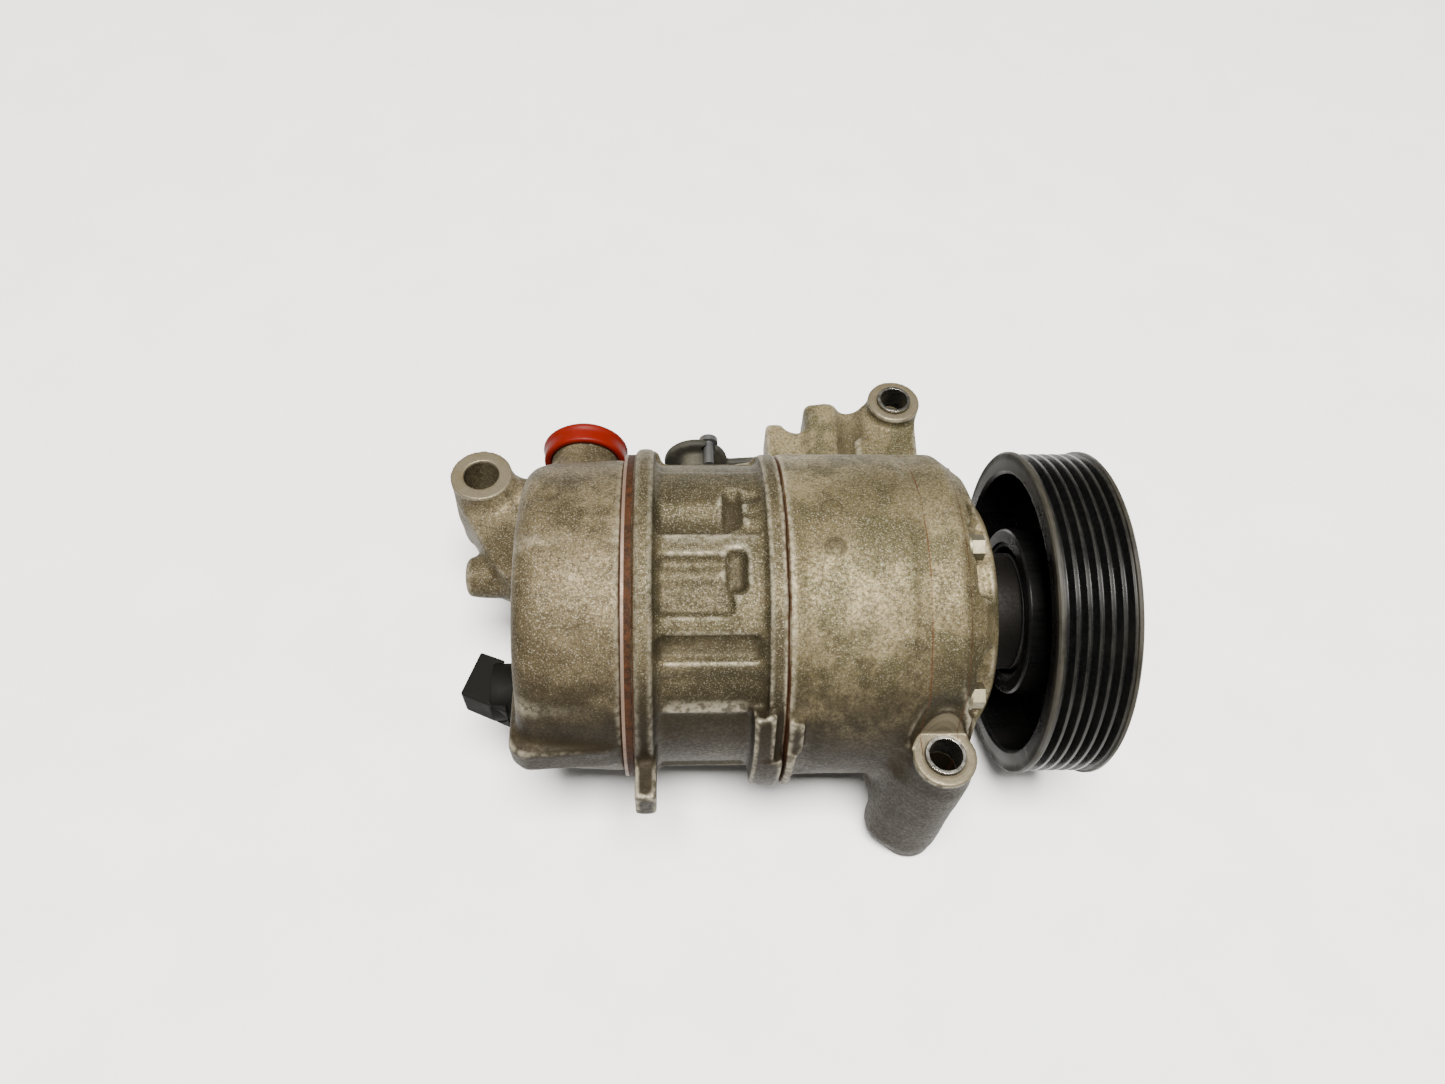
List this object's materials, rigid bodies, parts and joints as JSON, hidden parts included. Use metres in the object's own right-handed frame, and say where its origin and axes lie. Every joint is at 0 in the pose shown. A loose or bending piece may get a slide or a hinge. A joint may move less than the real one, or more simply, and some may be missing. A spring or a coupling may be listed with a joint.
{
  "type": "automotive ac compressor",
  "caption": "Belt-driven swash-plate refrigerant compressor with a ribbed pulley, cast casings, three mounting ears, capped ports and an electric control valve.",
  "frame": {"origin": "centre of the belt track on the shaft axis", "axes": "+X along the shaft to the pulley's front, +Z along the mounting bores to their machined faces, +Y up"},
  "size_m": [0.2205, 0.1653, 0.1159],
  "materials": {
    "cast_housing": "die-cast, fine grain, dusty",
    "cast_block": "die-cast, fine grain, dirt in the pockets",
    "valve_steel": "ground, rusted at the edge",
    "gasket": "coated sheet",
    "zinc_screws": "zinc plated",
    "sleeve_steel": "bright turned",
    "bearing_steel": "ground",
    "cage_polymer": "moulded",
    "black_steel": "gloss black coating, dusty rims",
    "shaft_steel": "ground",
    "black_rubber": "moulded",
    "red_plastic": "moulded polyethylene",
    "cover_plastic": "moulded, dusty",
    "plug_plastic": "glass-filled, moulded",
    "piston_aluminium": "turned, coated skirt",
    "shoe_steel": "polished",
    "ring_polymer": "filled PTFE",
    "valve_black": "black coating, matt",
    "contact_tin": "tin plated"
  },
  "bodies": {
    "casing": {"front_housing": "cast_housing", "cylinder_block": "cast_block", "rear_housing": "cast_housing", "suction_reed_plate": "valve_steel", "valve_plate": "valve_steel", "discharge_reeds": "valve_steel", "head_gasket": "gasket", "housing_bolts": "zinc_screws", "guide_sleeves": "sleeve_steel", "seam_o_ring": "black_rubber", "shaft_seal": "black_rubber", "retaining_rings": "bearing_steel", "suction_port_cap": "red_plastic", "discharge_port_cover": "cover_plastic", "cover_screw": "zinc_screws", "bearing_inner_ring": "bearing_steel", "front_shaft_bearing": "bearing_steel", "rear_shaft_bearing": "bearing_steel", "thrust_bearing": "bearing_steel", "control_valve": "valve_black", "valve_connector": "plug_plastic", "connector_pins": "contact_tin"},
    "rotor": {"pulley": "black_steel", "bearing_outer_ring": "bearing_steel", "hub_plate": "black_steel", "rubber_dampers": "black_rubber", "hub_nut": "zinc_screws", "drive_shaft": "shaft_steel", "lug_plate": "shaft_steel", "destroke_spring": "shaft_steel"},
    "bearing_rollers": {"bearing_balls": "bearing_steel", "bearing_cage": "cage_polymer"},
    "sleeve": {"slide_sleeve": "shaft_steel"},
    "swash": {"swash_plate": "shaft_steel", "swash_pins": "bearing_steel"},
    "plunger": {"valve_plunger": "shaft_steel"},
    "front_shoe_1": {"front_shoe_1": "shoe_steel"},
    "rear_shoe_1": {"rear_shoe_1": "shoe_steel"},
    "piston_ring_1": {"piston_ring_1": "ring_polymer"},
    "piston_1": {"piston_1": "piston_aluminium"},
    "front_shoe_2": {"front_shoe_2": "shoe_steel"},
    "rear_shoe_2": {"rear_shoe_2": "shoe_steel"},
    "piston_ring_2": {"piston_ring_2": "ring_polymer"},
    "piston_2": {"piston_2": "piston_aluminium"},
    "front_shoe_3": {"front_shoe_3": "shoe_steel"},
    "rear_shoe_3": {"rear_shoe_3": "shoe_steel"},
    "piston_ring_3": {"piston_ring_3": "ring_polymer"},
    "piston_3": {"piston_3": "piston_aluminium"},
    "front_shoe_4": {"front_shoe_4": "shoe_steel"},
    "rear_shoe_4": {"rear_shoe_4": "shoe_steel"},
    "piston_ring_4": {"piston_ring_4": "ring_polymer"},
    "piston_4": {"piston_4": "piston_aluminium"},
    "front_shoe_5": {"front_shoe_5": "shoe_steel"},
    "rear_shoe_5": {"rear_shoe_5": "shoe_steel"},
    "piston_ring_5": {"piston_ring_5": "ring_polymer"},
    "piston_5": {"piston_5": "piston_aluminium"},
    "front_shoe_6": {"front_shoe_6": "shoe_steel"},
    "rear_shoe_6": {"rear_shoe_6": "shoe_steel"},
    "piston_ring_6": {"piston_ring_6": "ring_polymer"},
    "piston_6": {"piston_6": "piston_aluminium"}
  },
  "joints": [
    {"name": "shaft_spin", "type": "hinge", "parent": "casing", "child": "rotor", "pos_m": [0, 0, 0], "axis": [1, 0, 0], "continuous": true},
    {"name": "cage_spin", "type": "hinge", "parent": "casing", "child": "bearing_rollers", "pos_m": [0, 0, 0], "axis": [1, 0, 0], "continuous": true},
    {"name": "sleeve_slide", "type": "slide", "parent": "rotor", "child": "sleeve", "axis": [1, 0, 0], "range_m": [-0.00269, 0.00269], "deforming": ["destroke_spring"]},
    {"name": "swash_tilt", "type": "hinge", "parent": "sleeve", "child": "swash", "pos_m": [-0.0757, 0, 0], "axis": [0, 0, 1], "range_deg": [-5, 5]},
    {"name": "plunger_stroke", "type": "slide", "parent": "casing", "child": "plunger", "axis": [1, 0, 0], "range_m": [-0.0004, 0.0004], "stiffness_N_per_m": 400},
    {"name": "shoe_1_track", "type": "hinge", "parent": "swash", "child": "front_shoe_1", "pos_m": [-0.0757, 0, 0], "axis": [0.9962, 0.0872, 0], "continuous": true},
    {"name": "shoe_1_twist", "type": "hinge", "parent": "front_shoe_1", "child": "rear_shoe_1", "pos_m": [-0.07417, -0.01749, 0.02555], "axis": [0.9962, 0.0872, 0], "continuous": true},
    {"name": "ring_1_level", "type": "hinge", "parent": "rear_shoe_1", "child": "piston_ring_1", "pos_m": [-0.07417, -0.01749, 0.02555], "axis": [0, 0, 1], "range_deg": [-5, 5]},
    {"name": "piston_1_stroke", "type": "hinge", "parent": "piston_ring_1", "child": "piston_1", "pos_m": [-0.07417, -0.01749, 0.02555], "axis": [1, 0, 0], "continuous": true},
    {"name": "shoe_2_track", "type": "hinge", "parent": "swash", "child": "front_shoe_2", "pos_m": [-0.0757, 0, 0], "axis": [0.9962, 0.0872, 0], "continuous": true},
    {"name": "shoe_2_twist", "type": "hinge", "parent": "front_shoe_2", "child": "rear_shoe_2", "pos_m": [-0.07686, 0.01329, 0.02798], "axis": [0.9962, 0.0872, 0], "continuous": true},
    {"name": "ring_2_level", "type": "hinge", "parent": "rear_shoe_2", "child": "piston_ring_2", "pos_m": [-0.07686, 0.01329, 0.02798], "axis": [0, 0, 1], "range_deg": [-5, 5]},
    {"name": "piston_2_stroke", "type": "hinge", "parent": "piston_ring_2", "child": "piston_2", "pos_m": [-0.07686, 0.01329, 0.02798], "axis": [1, 0, 0], "continuous": true},
    {"name": "shoe_3_track", "type": "hinge", "parent": "swash", "child": "front_shoe_3", "pos_m": [-0.0757, 0, 0], "axis": [0.9962, 0.0872, 0], "continuous": true},
    {"name": "shoe_3_twist", "type": "hinge", "parent": "front_shoe_3", "child": "rear_shoe_3", "pos_m": [-0.07839, 0.03079, 0.00243], "axis": [0.9962, 0.0872, 0], "continuous": true},
    {"name": "ring_3_level", "type": "hinge", "parent": "rear_shoe_3", "child": "piston_ring_3", "pos_m": [-0.07839, 0.03079, 0.00243], "axis": [0, 0, 1], "range_deg": [-5, 5]},
    {"name": "piston_3_stroke", "type": "hinge", "parent": "piston_ring_3", "child": "piston_3", "pos_m": [-0.07839, 0.03079, 0.00243], "axis": [1, 0, 0], "continuous": true},
    {"name": "shoe_4_track", "type": "hinge", "parent": "swash", "child": "front_shoe_4", "pos_m": [-0.0757, 0, 0], "axis": [0.9962, 0.0872, 0], "continuous": true},
    {"name": "shoe_4_twist", "type": "hinge", "parent": "front_shoe_4", "child": "rear_shoe_4", "pos_m": [-0.07723, 0.01749, -0.02555], "axis": [0.9962, 0.0872, 0], "continuous": true},
    {"name": "ring_4_level", "type": "hinge", "parent": "rear_shoe_4", "child": "piston_ring_4", "pos_m": [-0.07723, 0.01749, -0.02555], "axis": [0, 0, 1], "range_deg": [-5, 5]},
    {"name": "piston_4_stroke", "type": "hinge", "parent": "piston_ring_4", "child": "piston_4", "pos_m": [-0.07723, 0.01749, -0.02555], "axis": [1, 0, 0], "continuous": true},
    {"name": "shoe_5_track", "type": "hinge", "parent": "swash", "child": "front_shoe_5", "pos_m": [-0.0757, 0, 0], "axis": [0.9962, 0.0872, 0], "continuous": true},
    {"name": "shoe_5_twist", "type": "hinge", "parent": "front_shoe_5", "child": "rear_shoe_5", "pos_m": [-0.07454, -0.01329, -0.02798], "axis": [0.9962, 0.0872, 0], "continuous": true},
    {"name": "ring_5_level", "type": "hinge", "parent": "rear_shoe_5", "child": "piston_ring_5", "pos_m": [-0.07454, -0.01329, -0.02798], "axis": [0, 0, 1], "range_deg": [-5, 5]},
    {"name": "piston_5_stroke", "type": "hinge", "parent": "piston_ring_5", "child": "piston_5", "pos_m": [-0.07454, -0.01329, -0.02798], "axis": [1, 0, 0], "continuous": true},
    {"name": "shoe_6_track", "type": "hinge", "parent": "swash", "child": "front_shoe_6", "pos_m": [-0.0757, 0, 0], "axis": [0.9962, 0.0872, 0], "continuous": true},
    {"name": "shoe_6_twist", "type": "hinge", "parent": "front_shoe_6", "child": "rear_shoe_6", "pos_m": [-0.07301, -0.03079, -0.00243], "axis": [0.9962, 0.0872, 0], "continuous": true},
    {"name": "ring_6_level", "type": "hinge", "parent": "rear_shoe_6", "child": "piston_ring_6", "pos_m": [-0.07301, -0.03079, -0.00243], "axis": [0, 0, 1], "range_deg": [-5, 5]},
    {"name": "piston_6_stroke", "type": "hinge", "parent": "piston_ring_6", "child": "piston_6", "pos_m": [-0.07301, -0.03079, -0.00243], "axis": [1, 0, 0], "continuous": true}
  ],
  "couplings": [
    {"joint": "cage_spin", "follows": "shaft_spin", "ratio": 0.57294},
    {"joint": "sleeve_slide", "follows": "swash_tilt", "m_per_rad": 0.030843},
    {"joint": "shoe_1_track", "follows": "shaft_spin", "ratio": -1},
    {"joint": "shoe_1_twist", "follows": "shaft_spin", "ratio": 1},
    {"joint": "ring_1_level", "follows": "swash_tilt", "ratio": -1},
    {"joint": "piston_1_stroke", "follows": "shaft_spin", "ratio": -1},
    {"joint": "shoe_2_track", "follows": "shaft_spin", "ratio": -1},
    {"joint": "shoe_2_twist", "follows": "shaft_spin", "ratio": 1},
    {"joint": "ring_2_level", "follows": "swash_tilt", "ratio": -1},
    {"joint": "piston_2_stroke", "follows": "shaft_spin", "ratio": -1},
    {"joint": "shoe_3_track", "follows": "shaft_spin", "ratio": -1},
    {"joint": "shoe_3_twist", "follows": "shaft_spin", "ratio": 1},
    {"joint": "ring_3_level", "follows": "swash_tilt", "ratio": -1},
    {"joint": "piston_3_stroke", "follows": "shaft_spin", "ratio": -1},
    {"joint": "shoe_4_track", "follows": "shaft_spin", "ratio": -1},
    {"joint": "shoe_4_twist", "follows": "shaft_spin", "ratio": 1},
    {"joint": "ring_4_level", "follows": "swash_tilt", "ratio": -1},
    {"joint": "piston_4_stroke", "follows": "shaft_spin", "ratio": -1},
    {"joint": "shoe_5_track", "follows": "shaft_spin", "ratio": -1},
    {"joint": "shoe_5_twist", "follows": "shaft_spin", "ratio": 1},
    {"joint": "ring_5_level", "follows": "swash_tilt", "ratio": -1},
    {"joint": "piston_5_stroke", "follows": "shaft_spin", "ratio": -1},
    {"joint": "shoe_6_track", "follows": "shaft_spin", "ratio": -1},
    {"joint": "shoe_6_twist", "follows": "shaft_spin", "ratio": 1},
    {"joint": "ring_6_level", "follows": "swash_tilt", "ratio": -1},
    {"joint": "piston_6_stroke", "follows": "shaft_spin", "ratio": -1}
  ]
}
